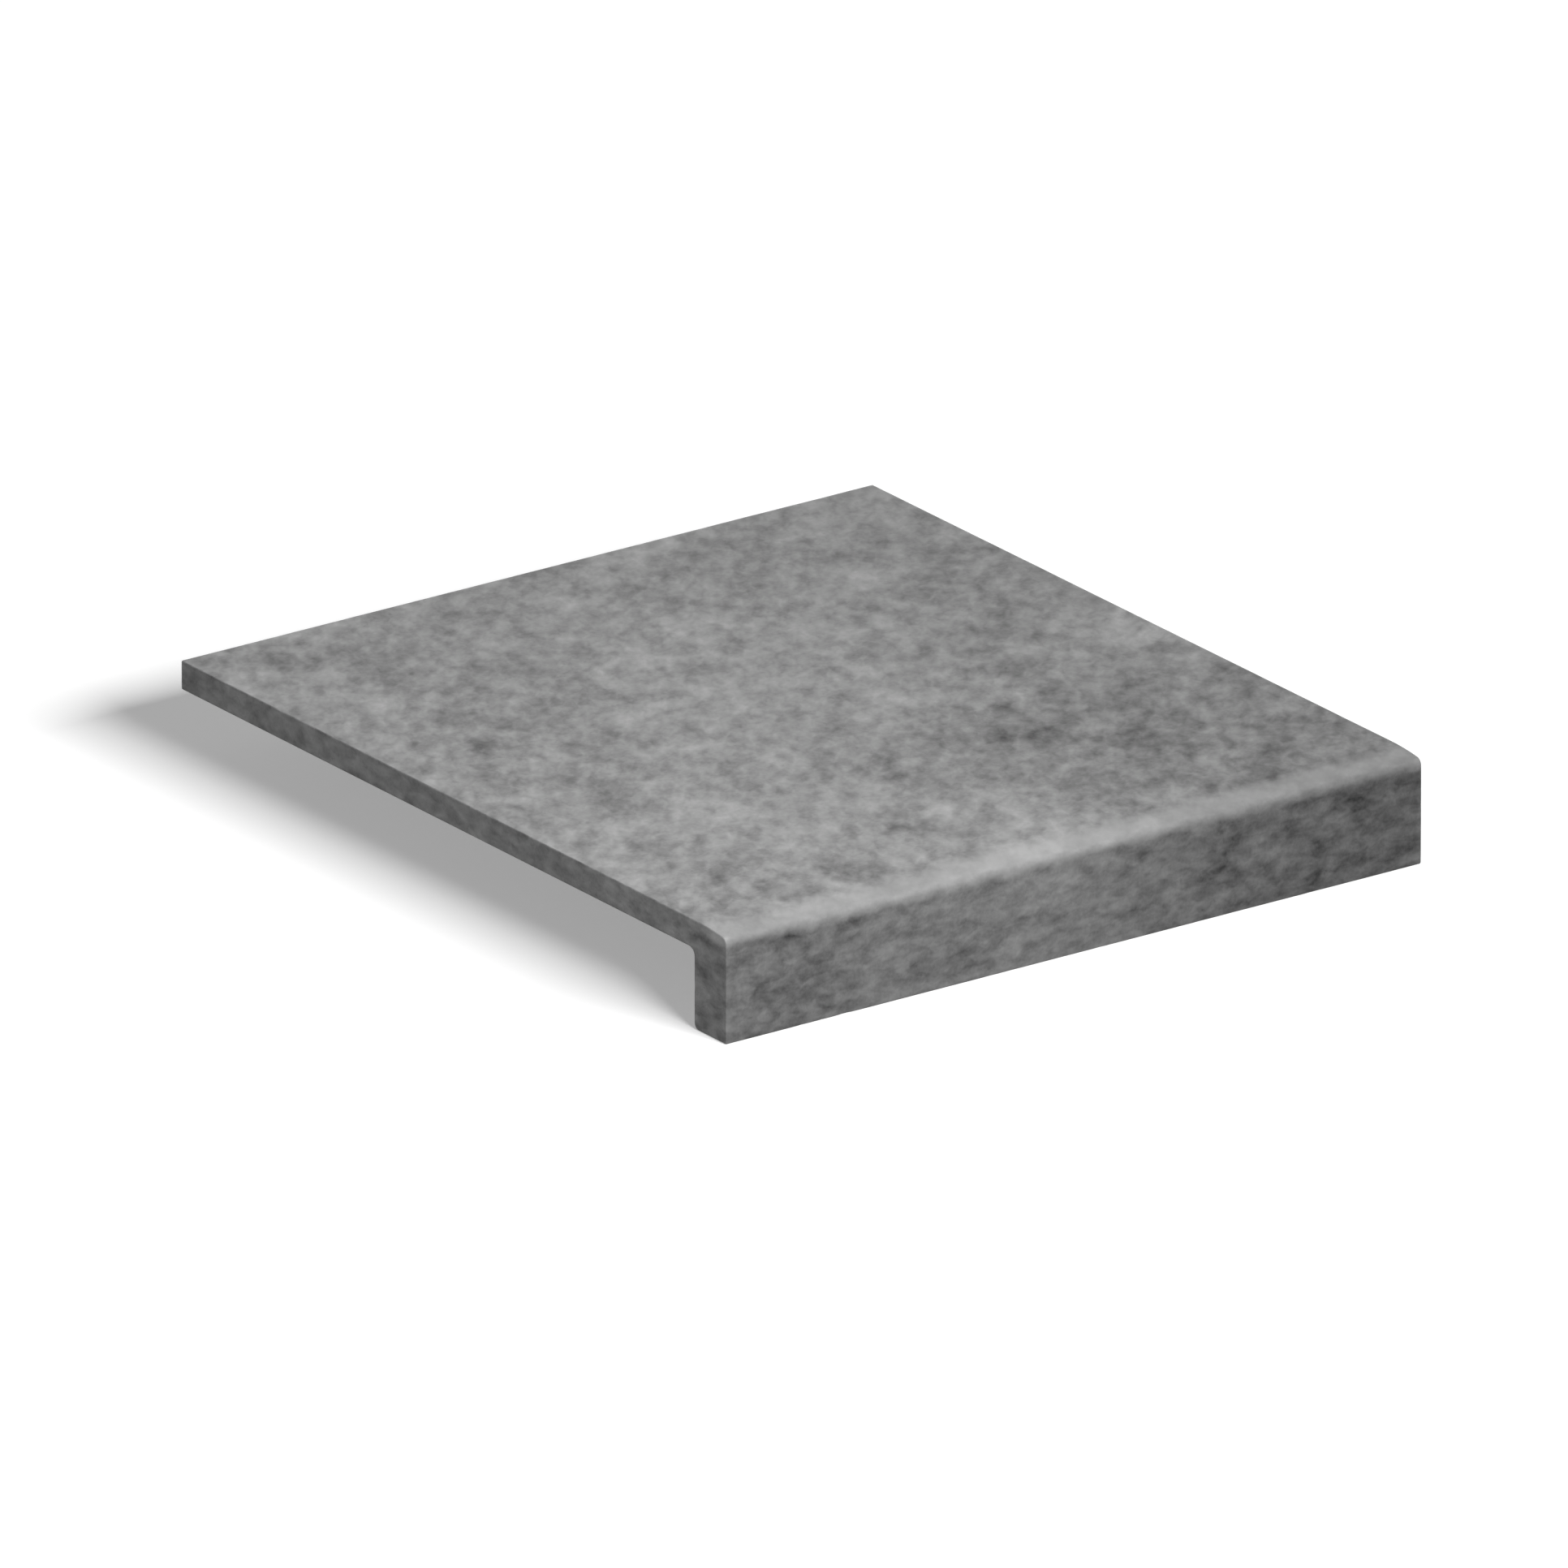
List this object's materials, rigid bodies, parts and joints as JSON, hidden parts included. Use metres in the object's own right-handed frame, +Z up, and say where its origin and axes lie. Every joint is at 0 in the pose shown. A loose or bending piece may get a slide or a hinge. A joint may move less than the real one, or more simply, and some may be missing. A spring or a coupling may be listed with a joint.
{
  "type": "stair tread tile with curved nose",
  "caption": "Flat tread tile for a step, with a curved front nose and a thick lip that hangs over the step's edge, and a keyed underside for bedding.",
  "frame": {"origin": "floor level under the middle of the tile, which stands level with the foot of its lip at z = 0", "axes": "+Z up, out of the tread; -Y forward, out of the front face of the nose and lip; +Y towards the back edge and the next riser; X along the step"},
  "size_m": [0.3, 0.33, 0.041],
  "materials": {
    "fired_body": "matte mottled grey, concrete look, a little smoother and paler on the curved nose"
  },
  "bodies": {
    "root": {"stair_tread_tile": "fired_body"}
  },
  "joints": []
}
